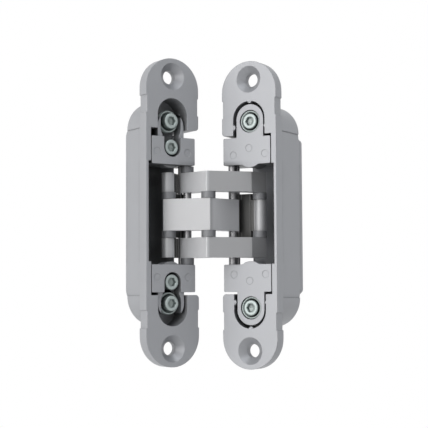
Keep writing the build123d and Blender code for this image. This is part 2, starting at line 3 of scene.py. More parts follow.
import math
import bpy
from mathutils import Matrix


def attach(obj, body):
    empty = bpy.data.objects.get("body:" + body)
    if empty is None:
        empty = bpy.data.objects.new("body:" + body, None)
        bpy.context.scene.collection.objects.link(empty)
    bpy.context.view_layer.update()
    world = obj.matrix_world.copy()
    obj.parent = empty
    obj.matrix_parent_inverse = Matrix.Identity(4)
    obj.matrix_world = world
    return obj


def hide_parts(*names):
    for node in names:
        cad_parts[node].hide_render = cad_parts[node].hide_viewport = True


bl_info = {
    "name": "Concealed Door Hinge",
    "version": (1, 0, 0),
    "blender": (4, 5, 0),
    "location": "3D View > Sidebar > Hinge",
    "description": "Dresses a concealed door hinge in cast and plated metal and sets a plain studio",
    "category": "Object",
}

import bpy
import numpy as np
from mathutils import Matrix

MM = 0.001

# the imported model
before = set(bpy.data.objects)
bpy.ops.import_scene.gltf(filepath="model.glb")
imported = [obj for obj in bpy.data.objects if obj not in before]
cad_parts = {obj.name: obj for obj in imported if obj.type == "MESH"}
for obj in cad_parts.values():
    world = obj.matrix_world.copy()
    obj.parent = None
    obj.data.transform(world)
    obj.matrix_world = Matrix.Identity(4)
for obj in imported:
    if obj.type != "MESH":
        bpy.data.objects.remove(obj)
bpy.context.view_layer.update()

# ridges round each screw head, and points round each turned piece: a multiple of the ridges and of a
# hexagon's 6 corners, so that both keep their shape
RIDGES = 48
AROUND = 3 * RIDGES

# turn of the leaf side from lying flat beside the frame side, and the distance of the faces' inner edges
LEAF_TURN = math.radians(65.4)
EDGE_DISTANCE = 9.46
# the plates' half width, the frame side's face along Y and the middle height of the mechanism, millimetres
HALF_WIDTH = 12.0
FACE_Y = -4.9
MECHANISM_Z = -1.05
LEAF_CORNER = (HALF_WIDTH + EDGE_DISTANCE * math.cos(LEAF_TURN / 2),
               FACE_Y - EDGE_DISTANCE * math.sin(LEAF_TURN / 2))

# heights of the screws over the middle, and the tongues' shift across the leaf's face, millimetres
SIDE_SCREW_Z = 26.2
HEIGHT_SCREW_Z = 35.5
CUP_Z = 36.3
TONGUE_SHIFT = 0.45
# cap screws: radius, length and rim of the head, radius of the shank, half the socket's width over its flats
HEAD_RADIUS = 3.05
HEAD_LENGTH = 3.6
RIM_RADIUS = 0.5
SHANK_RADIUS = 1.75
SOCKET_HALF_WIDTH = 1.55
# how far the fronts of the screws lie behind the faces: the depth screws stand proud of theirs
FRAME_SCREW_FRONT = 0.5
DEPTH_SCREW_FRONT = -0.3

# radius of the housings' bodies, half the straight length of the solid and of the drawn body, millimetres
BODY_RADIUS = 11.6
CAD_BODY_HALF_STRAIGHT = 30.0
BODY_HALF_STRAIGHT = 32.5
# the plates' thickness, the depth of the boss round each groove and half the width of the back plates
PLATE_THICKNESS = 4.9
BOSS_DEPTH = 10.2
BACK_HALF_WIDTH = 10.72

# axes and radii of the links' barrels, millimetres
FRAME_BARREL = (1.22, 0.52)
FRAME_BARREL_RADIUS = 2.5
LEAF_BARREL = (33.205, -17.199)
LEAF_BARREL_RADIUS = 2.3
# axis and half height of the lip of the leaf link's web beside its pin
LINK_LIP = (29.28, -9.86)
LINK_LIP_HALF_HEIGHT = 6.9
# where the arms' bends lie along X
OUTER_BEND = 10.3
MIDDLE_BEND = 12.1

# solids that share a finish
CAST = ("frame_housing", "frame_block_upper", "frame_block_lower",
        "leaf_housing", "leaf_block_upper", "leaf_block_lower")
OUTER_ARMS = ("outer_arm_upper", "outer_arm_lower")
PINS = ("frame_arm_pin", "frame_link_pin", "leaf_arm_pin", "leaf_link_pin", "centre_pin",
        "middle_arm_end_pin", "outer_arm_end_pin", "frame_arm_sleeve", "leaf_arm_sleeves")
BUSHES = ("centre_bushes", "middle_arm_end_rings", "outer_arm_end_rings", "frame_arm_washers")
ZINC = ("side_screws", "height_screws", "height_rings", "depth_screws", "depth_cups")

# the point that the soft lights are aimed at and the camera's place, metres
HINGE_MIDDLE = (0.016, 0.0, 0.0)
CAMERA_PLACE = (-0.2485, -0.3956, -0.03225)
WARM = (1.0, 0.985, 0.965)
COOL = (0.94, 0.97, 1.0)


# places


def frame_place():
    """The frame side's own axes in millimetres: X across the face to the leaf, Y into the frame, Z up."""
    place = np.eye(4)
    place[1, 3] = FACE_Y
    return place


def carriage_place():
    """The frame side's axes, moved down to the middle of the mechanism."""
    place = frame_place()
    place[2, 3] = MECHANISM_Z
    return place


def leaf_place():
    """The leaf side's own axes: the frame's turned about Z by minus the leaf turn, at its face's middle."""
    cos, sin = math.cos(LEAF_TURN), math.sin(LEAF_TURN)
    place = np.eye(4)
    place[:3, 0] = (cos, -sin, 0)
    place[:3, 1] = (sin, cos, 0)
    corner_x, corner_y = LEAF_CORNER
    place[:3, 3] = (corner_x + HALF_WIDTH * cos, corner_y - HALF_WIDTH * sin, MECHANISM_Z)
    return place


def put(points, place):
    """Each point times the place's turn, plus the place's shift, from millimetres to metres."""
    flat = points.reshape(-1, 3)
    return (flat @ place[:3, :3].T + place[:3, 3]).reshape(points.shape) * MM


# values a user may change


class HingeFinish(bpy.types.PropertyGroup):
    """Colours and grain of the finishes."""

    cast_colour: bpy.props.FloatVectorProperty(
        name="Cast metal", description="Base colour of the satin cast housings and blocks",
        subtype="COLOR", size=4, min=0, max=1, default=(0.455, 0.465, 0.49, 1))
    arm_colour: bpy.props.FloatVectorProperty(
        name="Arms", description="Base colour of the arms and links",
        subtype="COLOR", size=4, min=0, max=1, default=(0.55, 0.555, 0.57, 1))
    # painted shade: the links' webs are near black to stand in for the shade between the arms
    web_shade_colour: bpy.props.FloatVectorProperty(
        name="Link webs", description="Base colour of the links away from their rubbed barrels",
        subtype="COLOR", size=4, min=0, max=1, default=(0.075, 0.075, 0.073, 1))
    zinc_colour: bpy.props.FloatVectorProperty(
        name="Zinc plate", description="Base colour of the plated screws, rings and cups",
        subtype="COLOR", size=4, min=0, max=1, default=(0.44, 0.50, 0.49, 1))
    steel_colour: bpy.props.FloatVectorProperty(
        name="Pin steel", description="Base colour of the ground pins and sleeves",
        subtype="COLOR", size=4, min=0, max=1, default=(0.36, 0.36, 0.37, 1))
    bush_colour: bpy.props.FloatVectorProperty(
        name="Bushes", description="Base colour of the bushes, rings and washers",
        subtype="COLOR", size=4, min=0, max=1, default=(0.27, 0.275, 0.29, 1))
    grain_size: bpy.props.FloatProperty(
        name="Cast grain", description="Size of the grain of the cast and painted surface",
        unit="LENGTH", default=0.00045, min=0.0001, max=0.005)


class HingeDetail(bpy.types.PropertyGroup):
    """Sizes of the screws' ridges and the bushes' thread."""

    ridge_depth: bpy.props.FloatProperty(
        name="Ridge depth", description="Depth of the ridges round the screw heads",
        unit="LENGTH", default=0.00005, min=0, max=0.0002)
    thread_pitch: bpy.props.FloatProperty(
        name="Thread pitch", description="Rise of the thread inside the depth bushes",
        unit="LENGTH", default=0.0008, min=0.0003, max=0.002)
    thread_depth: bpy.props.FloatProperty(
        name="Thread depth", description="Depth of the thread inside the depth bushes",
        unit="LENGTH", default=0.0002, min=0, max=0.0003)


class HingeStage(bpy.types.PropertyGroup):
    """Levels of the lights and the floor's place."""

    key_power: bpy.props.FloatProperty(
        name="Key light", description="Power of the large light on the left",
        unit="POWER", default=4.2, min=0)
    front_power: bpy.props.FloatProperty(
        name="Front light", description="Power of the small light in front of the key light",
        unit="POWER", default=0.65, min=0)
    top_power: bpy.props.FloatProperty(
        name="Top light", description="Power of the light above the front",
        unit="POWER", default=2.1, min=0)
    side_power: bpy.props.FloatProperty(
        name="Side light", description="Power of the faint light on the right",
        unit="POWER", default=0.3, min=0)
    sky_level: bpy.props.FloatProperty(
        name="Sky level", description="Even light from all round", default=0.12, min=0)
    floor_drop: bpy.props.FloatProperty(
        name="Floor drop", description="How far the floor lies under the hinge's middle",
        unit="LENGTH", default=0.3, min=0.07)


# finishes


def new_material(name):
    """A material with an emptied node tree, its output node and a principled shader."""
    material = bpy.data.materials.new(name)
    material.use_nodes = True
    tree = material.node_tree
    tree.nodes.clear()
    output = tree.nodes.new("ShaderNodeOutputMaterial")
    shader = tree.nodes.new("ShaderNodeBsdfPrincipled")
    tree.links.new(shader.outputs["BSDF"], output.inputs["Surface"])
    return material, tree, shader


def object_place(tree):
    """The point's own coordinates on the piece."""
    return tree.nodes.new("ShaderNodeTexCoord").outputs["Object"]


def noise(tree, scale, detail=3.0):
    """Cloudy noise from 0 to 1 with the given number of patches a metre."""
    node = tree.nodes.new("ShaderNodeTexNoise")
    node.inputs["Scale"].default_value = scale
    node.inputs["Detail"].default_value = detail
    node.inputs["Roughness"].default_value = 0.55
    tree.links.new(object_place(tree), node.inputs["Vector"])
    return node.outputs["Fac"]


def spread(tree, value, low, high):
    """The value, mostly between 0.3 and 0.7 as noise is, laid evenly between low and high."""
    node = tree.nodes.new("ShaderNodeMapRange")
    node.inputs["From Min"].default_value = 0.3
    node.inputs["From Max"].default_value = 0.7
    node.inputs["To Min"].default_value = low
    node.inputs["To Max"].default_value = high
    tree.links.new(value, node.inputs["Value"])
    return node.outputs["Result"]


def tinted(tree, factor, colour, shade_low, shade_high):
    """The colour, darker by shade_low where factor is low and lighter by shade_high where it is high."""
    node = tree.nodes.new("ShaderNodeMix")
    node.data_type = "RGBA"
    tree.links.new(factor, node.inputs["Factor"])
    node.inputs["A"].default_value = [min(1, c * shade_low) for c in colour[:3]] + [1]
    node.inputs["B"].default_value = [min(1, c * shade_high) for c in colour[:3]] + [1]
    return node.outputs["Result"]


def painted_hollow_shade(tree, tint, reach, power, pocket_power=None):
    """Painted shade in the hollows: the tint times the share of open space within reach, raised to power.
    Where pocket_power is given, it takes power's place between the blocks, under 19 mm from the middle."""
    share = tree.nodes.new("ShaderNodeAmbientOcclusion")
    share.samples = 8
    share.inputs["Distance"].default_value = reach
    deeper = tree.nodes.new("ShaderNodeMath")
    deeper.operation = "POWER"
    deeper.inputs[1].default_value = power
    if pocket_power is not None:
        parts = tree.nodes.new("ShaderNodeSeparateXYZ")
        tree.links.new(object_place(tree), parts.inputs["Vector"])
        height = tree.nodes.new("ShaderNodeMath")
        height.operation = "ABSOLUTE"
        tree.links.new(parts.outputs["Z"], height.inputs[0])
        change = tree.nodes.new("ShaderNodeMapRange")
        change.inputs["From Min"].default_value = 19.0 * MM
        change.inputs["From Max"].default_value = 20.5 * MM
        change.inputs["To Min"].default_value = pocket_power
        change.inputs["To Max"].default_value = power
        tree.links.new(height.outputs[0], change.inputs["Value"])
        tree.links.new(change.outputs["Result"], deeper.inputs[1])
    tree.links.new(share.outputs["AO"], deeper.inputs[0])
    # near black where little open space is near: painted shade
    node = tree.nodes.new("ShaderNodeMix")
    node.data_type = "RGBA"
    tree.links.new(deeper.outputs[0], node.inputs["Factor"])
    node.inputs["A"].default_value = (0.012, 0.014, 0.012, 1)
    tree.links.new(tint, node.inputs["B"])
    return node.outputs["Result"]


def painted_flat_light(tree, tint, bend, before, after):
    """Painted light and shade on an arm's two flats: the tint times the shade before, where X is under the
    bend, and times the shade after, beyond it, with an even change over 1.6 mm."""
    parts = tree.nodes.new("ShaderNodeSeparateXYZ")
    tree.links.new(object_place(tree), parts.inputs["Vector"])
    shade = tree.nodes.new("ShaderNodeMapRange")
    shade.inputs["From Min"].default_value = (bend - 0.8) * MM
    shade.inputs["From Max"].default_value = (bend + 0.8) * MM
    shade.inputs["To Min"].default_value = before
    shade.inputs["To Max"].default_value = after
    tree.links.new(parts.outputs["X"], shade.inputs["Value"])
    node = tree.nodes.new("ShaderNodeVectorMath")
    node.operation = "SCALE"
    tree.links.new(tint, node.inputs["Vector"])
    tree.links.new(shade.outputs["Result"], node.inputs["Scale"])
    return node.outputs["Vector"]


def soft_edges(tree, shader, radius, grain=None):
    """Normals rounded within radius of an edge, with the grain's height on top."""
    bevel = tree.nodes.new("ShaderNodeBevel")
    bevel.samples = 6
    bevel.inputs["Radius"].default_value = radius
    if grain is None:
        tree.links.new(bevel.outputs["Normal"], shader.inputs["Normal"])
        return
    bump = tree.nodes.new("ShaderNodeBump")
    bump.inputs["Strength"].default_value = 0.35
    bump.inputs["Distance"].default_value = 0.03 * MM
    tree.links.new(grain, bump.inputs["Height"])
    tree.links.new(bevel.outputs["Normal"], bump.inputs["Normal"])
    tree.links.new(bump.outputs["Normal"], shader.inputs["Normal"])


def satin_cast(name, colour, grain_size, edge, reach, power, pocket_power=None, flats=None):
    """Die-cast metal under satin lacquer: fine grain, faint cloudiness, softened edges, painted shade in the
    hollows. Flats holds an arm's bend along X and the painted light and shade factors before and after it."""
    material, tree, shader = new_material(name)
    grain = noise(tree, 1 / grain_size, 4.0)
    cloud = noise(tree, 90.0, 2.0)
    mixed = tree.nodes.new("ShaderNodeMath")
    mixed.operation = "MULTIPLY_ADD"
    mixed.inputs[1].default_value = 0.6
    tree.links.new(grain, mixed.inputs[0])
    faint = tree.nodes.new("ShaderNodeMath")
    faint.operation = "MULTIPLY"
    faint.inputs[1].default_value = 0.4
    tree.links.new(cloud, faint.inputs[0])
    tree.links.new(faint.outputs[0], mixed.inputs[2])
    tint = tinted(tree, mixed.outputs[0], colour, 0.93, 1.07)
    if flats is not None:
        tint = painted_flat_light(tree, tint, *flats)
    tree.links.new(painted_hollow_shade(tree, tint, reach, power, pocket_power), shader.inputs["Base Color"])
    tree.links.new(spread(tree, grain, 0.35, 0.47), shader.inputs["Roughness"])
    shader.inputs["Metallic"].default_value = 0.25
    soft_edges(tree, shader, edge, grain)
    return material


def plated_steel(name, colour, power, metallic):
    """Bright zinc plate: small cloudy patches and a few dull spots, with painted shade by power in its
    hollows.
    """
    material, tree, shader = new_material(name)
    patch = noise(tree, 900.0, 3.0)
    spots = noise(tree, 3200.0, 2.0)
    tint = tinted(tree, patch, colour, 0.9, 1.08)
    tree.links.new(painted_hollow_shade(tree, tint, 2.5 * MM, power), shader.inputs["Base Color"])
    tree.links.new(spread(tree, spots, 0.24, 0.42), shader.inputs["Roughness"])
    shader.inputs["Metallic"].default_value = metallic
    soft_edges(tree, shader, 0.12 * MM)
    return material


def turned_steel(name, colour):
    """Ground steel: fine rings round the pins' length, worn a little uneven."""
    material, tree, shader = new_material(name)
    mapping = tree.nodes.new("ShaderNodeMapping")
    mapping.inputs["Scale"].default_value = (60, 60, 5000)
    tree.links.new(object_place(tree), mapping.inputs["Vector"])
    rings = tree.nodes.new("ShaderNodeTexNoise")
    rings.inputs["Scale"].default_value = 1.0
    tree.links.new(mapping.outputs["Vector"], rings.inputs["Vector"])
    ring = rings.outputs["Fac"]
    tree.links.new(tinted(tree, ring, colour, 0.85, 1.12), shader.inputs["Base Color"])
    tree.links.new(spread(tree, ring, 0.29, 0.45), shader.inputs["Roughness"])
    shader.inputs["Metallic"].default_value = 0.7
    return material


def link_metal(name, finish, axis, radius):
    """Satin cast metal, near black on the web as painted shade, in the arms' colour on the barrel round the
    given axis.
    """
    material, tree, shader = new_material(name)
    grain = noise(tree, 1 / (finish.grain_size * 0.8), 4.0)
    flat = tree.nodes.new("ShaderNodeVectorMath")
    flat.operation = "MULTIPLY"
    flat.inputs[1].default_value = (1, 1, 0)
    tree.links.new(object_place(tree), flat.inputs[0])
    away = tree.nodes.new("ShaderNodeVectorMath")
    away.operation = "DISTANCE"
    away.inputs[1].default_value = (axis[0] * MM, axis[1] * MM, 0)
    tree.links.new(flat.outputs["Vector"], away.inputs[0])
    # the barrel keeps the arms' colour, the web beyond it gets the painted shade
    barrel = tree.nodes.new("ShaderNodeMapRange")
    barrel.inputs["From Min"].default_value = (radius + 0.35) * MM
    barrel.inputs["From Max"].default_value = (radius + 0.08) * MM
    tree.links.new(away.outputs["Value"], barrel.inputs["Value"])
    bright = tinted(tree, grain, finish.arm_colour, 0.94, 1.06)
    shaded_web = tinted(tree, grain, finish.web_shade_colour, 0.88, 1.1)
    mix = tree.nodes.new("ShaderNodeMix")
    mix.data_type = "RGBA"
    tree.links.new(barrel.outputs["Result"], mix.inputs["Factor"])
    tree.links.new(shaded_web, mix.inputs["A"])
    tree.links.new(bright, mix.inputs["B"])
    tree.links.new(painted_hollow_shade(tree, mix.outputs["Result"], 4 * MM, 0.6), shader.inputs["Base Color"])
    tree.links.new(spread(tree, grain, 0.36, 0.48), shader.inputs["Roughness"])
    shader.inputs["Metallic"].default_value = 0.25
    soft_edges(tree, shader, 0.2 * MM, grain)
    return material


def moulded_bush(name, colour):
    """Grey filled polymer: matt, with a faint speckle."""
    material, tree, shader = new_material(name)
    speck = noise(tree, 2600.0, 3.0)
    tree.links.new(tinted(tree, speck, colour, 0.9, 1.1), shader.inputs["Base Color"])
    tree.links.new(spread(tree, speck, 0.45, 0.6), shader.inputs["Roughness"])
    shader.inputs["Metallic"].default_value = 0.25
    soft_edges(tree, shader, 0.2 * MM)
    return material


def seen_directly(tree):
    """1 for camera, glossy and transmission rays, 0 for the rays that only carry soft light."""
    path = tree.nodes.new("ShaderNodeLightPath")
    total = path.outputs["Is Camera Ray"]
    for ray in ("Is Glossy Ray", "Is Transmission Ray"):
        add = tree.nodes.new("ShaderNodeMath")
        add.operation = "ADD"
        add.use_clamp = True
        tree.links.new(total, add.inputs[0])
        tree.links.new(path.outputs[ray], add.inputs[1])
        total = add.outputs[0]
    return total


def give(names, material):
    """Makes the material the only one of each named solid."""
    for name in names:
        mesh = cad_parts[name].data
        mesh.materials.clear()
        mesh.materials.append(material)


# computed surfaces


def turned(rises, radii, x, z, front, place):
    """Each row's radius carried round the axis through (x, z): x + r cos a, front - rise, z + r sin a.
    A row's rise is its height over the piece's front, less than zero behind it."""
    angle = np.linspace(0, 2 * np.pi, AROUND, endpoint=False)
    radii = np.broadcast_to(radii, (len(rises), AROUND))
    rises = np.broadcast_to(np.asarray(rises)[:, None], radii.shape)
    points = np.stack([x + radii * np.cos(angle), front - rises, z + radii * np.sin(angle)], axis=-1)
    return put(points, place)


def surface(name, grids, material, body, stands_for=(), ring=False):
    """Joins grids of rows by columns into one mesh. Columns meet round the axis. Rows meet too in a ring,
    and otherwise the first and last row are each shut by one flat face."""
    points, faces, start = [], [], 0
    for grid in grids:
        rows, columns = grid.shape[:2]
        index = np.arange(rows * columns).reshape(rows, columns) + start
        if ring:
            index = np.vstack([index, index[:1]])
        else:
            faces += [index[0].tolist(), index[-1, ::-1].tolist()]
        index = np.hstack([index, index[:, :1]])
        quads = np.stack([index[:-1, :-1], index[1:, :-1], index[1:, 1:], index[:-1, 1:]], axis=-1)
        points.append(grid.reshape(-1, 3))
        faces += quads.reshape(-1, 4).tolist()
        start += rows * columns
    mesh = bpy.data.meshes.new(name)
    mesh.from_pydata(np.concatenate(points).tolist(), [], faces)
    mesh.validate()
    mesh.shade_smooth()
    mesh.set_sharp_from_angle(angle=math.radians(38))
    mesh.update()
    obj = bpy.data.objects.new(name, mesh)
    bpy.context.collection.objects.link(obj)
    mesh.materials.append(material)
    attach(obj, body)
    if stands_for:
        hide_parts(*stands_for)


def cap_screw(length, x, z, front, place, ridge):
    """A socket cap screw turned about its axis. The socket's rows follow a hexagon, half its width over the
    cosine of the angle from the nearest flat's middle. The head's side swings by the ridge depth."""
    angle = np.linspace(0, 2 * np.pi, AROUND, endpoint=False)
    hexagon = SOCKET_HALF_WIDTH / np.cos(angle % (np.pi / 3) - np.pi / 6)
    side = HEAD_RADIUS + ridge * (np.cos(RIDGES * angle) - 1)
    round_row = np.ones(AROUND)
    # rise and radius, from the socket's floor out to its mouth
    rows = [(-2.35, 0.12 * round_row), (-1.85, 0.86 * hexagon), (-1.8, hexagon), (-0.25, hexagon),
            (-0.03, np.maximum(hexagon, 1.82)), (0.0, 1.95 * round_row), (0.0, 2.5 * round_row)]
    # the rim: a quarter turn from the front into the side
    for part in np.linspace(0.15, 1, 5) * np.pi / 2:
        rim = HEAD_RADIUS - RIM_RADIUS + RIM_RADIUS * math.sin(part)
        rows.append((RIM_RADIUS * (math.cos(part) - 1), rim * round_row))
    # the ridged side, the head's back and the shank
    rows += [(-0.65, side), (0.35 - HEAD_LENGTH, side), (0.1 - HEAD_LENGTH, 2.9 * round_row),
             (-HEAD_LENGTH, 2.75 * round_row), (-HEAD_LENGTH, 1.8 * round_row),
             (-HEAD_LENGTH - 0.15, SHANK_RADIUS * round_row), (0.35 - length, SHANK_RADIUS * round_row),
             (-length, 1.4 * round_row)]
    rises, radii = zip(*rows)
    return turned(rises, np.array(radii), x, z, front, place)


def end_crescent(end, front, back, groove_half_width):
    """A crescent round the body's upper or lower end, given as 1 or -1. Its outer wall is the arc R cos a,
    H + R sin a and its inner wall the arc of the solid body, a little inside it and above the pocket.
    Over the groove it starts behind the groove's boss."""
    inside, proud, behind = 1.0, 0.02, 0.03
    angle = np.linspace(0, np.pi, 97)
    outer = np.stack([np.cos(angle), np.sin(angle)], axis=-1) * (BODY_RADIUS + proud)
    low = math.asin((BODY_HALF_STRAIGHT - CAD_BODY_HALF_STRAIGHT) / (BODY_RADIUS - inside))
    angle = np.linspace(low, np.pi - low, 97)
    inner = np.stack([np.cos(angle), np.sin(angle)], axis=-1) * (BODY_RADIUS - inside)
    outer[:, 1] += BODY_HALF_STRAIGHT
    inner[:, 1] += CAD_BODY_HALF_STRAIGHT
    start = np.where(np.abs(outer[:, 0]) < groove_half_width, BOSS_DEPTH, front)
    stop = np.full_like(start, back + behind)
    section = [(outer, start), (inner, start), (inner, stop), (outer, stop)]
    corners = [np.stack([edge[:, 0], depth, edge[:, 1]], axis=-1) for edge, depth in section]
    points = np.stack(corners, axis=1)
    points[:, :, 2] *= end
    return points if end > 0 else points[::-1]


def rounded_plate(half_width, half_length, corner, depths, insets):
    """A slab whose outline is a rectangle with round corners, each row shrunk by its own inset."""
    angle = np.linspace(0, 2 * np.pi, 96, endpoint=False) + np.pi / 96
    centre = np.stack([np.sign(np.cos(angle)) * (half_width - corner),
                       np.sign(np.sin(angle)) * (half_length - corner)], axis=-1)
    rows = []
    for depth, inset in zip(depths, insets):
        edge = centre + np.stack([np.cos(angle), np.sin(angle)], axis=-1) * (corner - inset)
        rows.append(np.stack([edge[:, 0], np.full(len(angle), depth), edge[:, 1]], axis=-1))
    return np.stack(rows)


def finish_named(name):
    """The material of that name, which the step Finishes makes."""
    material = bpy.data.materials.get(name)
    if material is None:
        raise RuntimeError("the finishes come before the pieces: run Finishes first")
    return material


# the steps


class HINGE_OT_finishes(bpy.types.Operator):
    """Give the housings, blocks, arms, links, pins and bushes their finishes"""

    bl_idname = "hinge.finishes"
    bl_label = "Finishes"

    def execute(self, context):
        finish = context.scene.hinge_finish
        # the cast pieces: painted shade in their hollows, much deeper in the pocket between the blocks
        give(CAST, satin_cast("satin cast metal", finish.cast_colour, finish.grain_size,
                              edge=0.35 * MM, reach=12 * MM, power=0.35, pocket_power=2.6))
        # each arm's bend along X and the painted light and shade on its flats before and after the bend
        arms = (("outer arm metal", OUTER_ARMS, (OUTER_BEND, 1.5, 0.84)),
                ("middle arm metal", ("middle_arm",), (MIDDLE_BEND, 0.97, 1.4)))
        for name, nodes, flats in arms:
            give(nodes, satin_cast(name, finish.arm_colour, finish.grain_size * 0.8,
                                   edge=0.12 * MM, reach=4 * MM, power=0.12, flats=flats))
        give(("frame_link",), link_metal("frame link metal", finish, FRAME_BARREL, FRAME_BARREL_RADIUS))
        give(("leaf_link",), link_metal("leaf link metal", finish, LEAF_BARREL, LEAF_BARREL_RADIUS))
        give(PINS, turned_steel("ground pin steel", finish.steel_colour))
        give(BUSHES, moulded_bush("grey bush", finish.bush_colour))
        # painted shade in the zinc pieces' hollows: power 0.5 on the screws, 0.1 on the collars and bushes
        give(ZINC, plated_steel("zinc plated steel", finish.zinc_colour, 0.5, 0.5))
        plated_steel("faintly shaded zinc plate", finish.zinc_colour, 0.1, 0.3)
        return {"FINISHED"}


class HINGE_OT_screws(bpy.types.Operator):
    """Put in the side, height and depth screws with rounded rims, ridged heads and hexagon sockets"""

    bl_idname = "hinge.screws"
    bl_label = "Screws"

    def execute(self, context):
        ridge = context.scene.hinge_detail.ridge_depth / MM / 2
        zinc = finish_named("zinc plated steel")
        # piece, solid, body, place, length, place across, height over the middle and front of each pair
        pairs = (
            ("side_cap_screws", "side_screws", "frame_carriage", carriage_place(),
             11.0, 0.0, SIDE_SCREW_Z, FRAME_SCREW_FRONT),
            ("height_cap_screws", "height_screws", "frame_side", frame_place(),
             8.0, 0.0, HEIGHT_SCREW_Z, FRAME_SCREW_FRONT),
            ("depth_cap_screws", "depth_screws", "leaf_carriage", leaf_place(),
             6.6, TONGUE_SHIFT, CUP_Z, DEPTH_SCREW_FRONT),
        )
        for name, node, body, place, length, x, z, front in pairs:
            grids = [cap_screw(length, x, end * z, front, place, ridge) for end in (1, -1)]
            surface(name, grids, zinc, body, stands_for=(node,))
        return {"FINISHED"}


class HINGE_OT_collars(bpy.types.Operator):
    """Put in the grooved, dished collars behind the height screws' heads"""

    bl_idname = "hinge.collars"
    bl_label = "Height collars"

    def execute(self, context):
        zinc = finish_named("faintly shaded zinc plate")
        # rise over the screw's front and radius, once round the collar's section from the bore's front
        section = np.array([
            (-3.62, 1.9), (-3.62, 2.95), (-3.2, 3.3), (-3.0, 3.65), (-2.6, 3.72), (-2.6, 4.2), (-2.7, 4.3),
            (-3.15, 4.3), (-3.25, 4.05), (-3.3, 3.8), (-3.75, 3.8), (-3.8, 4.1), (-3.9, 4.3), (-4.9, 4.3),
            (-5.08, 4.1), (-5.08, 1.9)])
        grids = [turned(section[:, 0], section[:, 1:], 0.0, end * HEIGHT_SCREW_Z, FRAME_SCREW_FRONT,
                        frame_place()) for end in (1, -1)]
        surface("height_collars", grids, zinc, "frame_side",
                stands_for=("height_rings",), ring=True)
        return {"FINISHED"}


class HINGE_OT_bushes(bpy.types.Operator):
    """Put in the threaded bushes that hold the depth screws in the leaf's tongues"""

    bl_idname = "hinge.bushes"
    bl_label = "Depth bushes"

    def execute(self, context):
        detail = context.scene.hinge_detail
        pitch, depth = detail.thread_pitch / MM, detail.thread_depth / MM
        angle = np.linspace(0, 2 * np.pi, AROUND, endpoint=False)
        floor, mouth, bore = -4.05, -0.65, 3.62
        inner = np.linspace(floor, mouth, 60)[:, None]
        # the bore's wall swings once per pitch, climbs one pitch per turn and fades at its ends
        fade = np.clip((inner - floor) / 0.3, 0, 1) * np.clip((mouth - inner) / 0.15, 0, 1)
        wall = bore + fade * depth * 0.5 * (np.cos(2 * np.pi * inner / pitch + angle) - 1)
        # rise over the leaf's face and radius, from the mouth over the front ring and down the outside
        outside = np.array([(-0.5, 3.72), (-0.45, 3.8), (-0.45, 4.08), (-0.62, 4.22), (-1.5, 4.28),
                            (-4.0, 4.28), (-4.1, 4.2)])
        rises = np.concatenate([outside[:, 0], inner[:, 0]])
        radii = np.concatenate([np.repeat(outside[:, 1:], AROUND, axis=1), wall])
        grids = [turned(rises, radii, TONGUE_SHIFT, end * CUP_Z, 0.0, leaf_place()) for end in (1, -1)]
        surface("depth_bushes", grids, finish_named("faintly shaded zinc plate"), "leaf_carriage",
                stands_for=("depth_cups",), ring=True)
        return {"FINISHED"}


class HINGE_OT_shoulders(bpy.types.Operator):
    """Round out the shoulders and backs of both housings' bodies"""

    bl_idname = "hinge.shoulders"
    bl_label = "Housing shoulders"

    def execute(self, context):
        cast = finish_named("satin cast metal")
        # piece, body, slot, place, depth of the body and of its back tier, what is added behind, half length
        # and corner of the tier, half width of the groove, and whether the tier's open ends need walls
        sides = (
            ("frame_shoulders", "frame_side", "frame_cast", frame_place(),
             14.9, 16.8, 1.1, 36.0, 6.0, 7.2, False),
            ("leaf_shoulders", "leaf_side", "leaf_cast", leaf_place(),
             20.0, 23.2, 1.6, 31.0, 2.0, 7.6, True),
        )
        chamfer = 0.4
        for name, body, slot, place, depth, tier, added, half_length, corner, groove, walls in sides:
            grids = [end_crescent(end, PLATE_THICKNESS, depth, groove) for end in (1, -1)]
            back = tier + added
            grids.append(rounded_plate(BACK_HALF_WIDTH, half_length + 0.02, corner,
                                       (tier - 0.5, back - chamfer, back), (0, 0, chamfer)))
            if walls:
                for end in (1, -1):
                    wall = rounded_plate(9.6, 0.36, 0.1, (depth - 0.5, back - 0.3), (0, 0))
                    wall[..., 2] += end * (half_length - 0.34)
                    grids.append(wall)
            surface(name, [put(grid, place) for grid in grids], cast, body)
        return {"FINISHED"}


class HINGE_OT_nubs(bpy.types.Operator):
    """Put in the round centring nubs on the walls of the leaf's grooves"""

    bl_idname = "hinge.nubs"
    bl_label = "Centring nubs"

    def execute(self, context):
        # place across, height over the middle and radius of each nub
        nubs = ((0.3, 44.5, 1.1), (-7.15, 34.2, 1.15), (7.05, 34.2, 0.6))
        # rise over the leaf's face and how much the radius is drawn in there, from the tip back
        rises = (-0.05, -0.15, -0.4, -2.4)
        drawn_in = np.array([(0.35,), (0.1,), (0.0,), (0.0,)])
        grids = [turned(rises, radius - drawn_in, x, end * z, 0.0, leaf_place())
                 for end in (1, -1) for x, z, radius in nubs]
        surface("centring_nubs", grids, finish_named("satin cast metal"), "leaf_side")
        return {"FINISHED"}


class HINGE_OT_link_lip(bpy.types.Operator):
    """Put in the rounded lip that runs along the leaf link's web beside its pin"""

    bl_idname = "hinge.link_lip"
    bl_label = "Link lip"

    def execute(self, context):
        # a round bar whose ends are softened: each row is a circle of its height's radius
        angle = np.linspace(0, 2 * np.pi, 48, endpoint=False)
        top, radius, soft = LINK_LIP_HALF_HEIGHT, 0.75, 0.15
        rows = [np.stack([LINK_LIP[0] + r * np.cos(angle), LINK_LIP[1] + r * np.sin(angle),
                          np.full_like(angle, MECHANISM_Z + z)], axis=-1)
                for z, r in ((top, radius - soft), (top - soft, radius), (soft - top, radius),
                             (-top, radius - soft))]
        grid = put(np.stack(rows), np.eye(4))
        surface("leaf_link_lip", [grid], finish_named("leaf link metal"), "leaf_link")
        return {"FINISHED"}


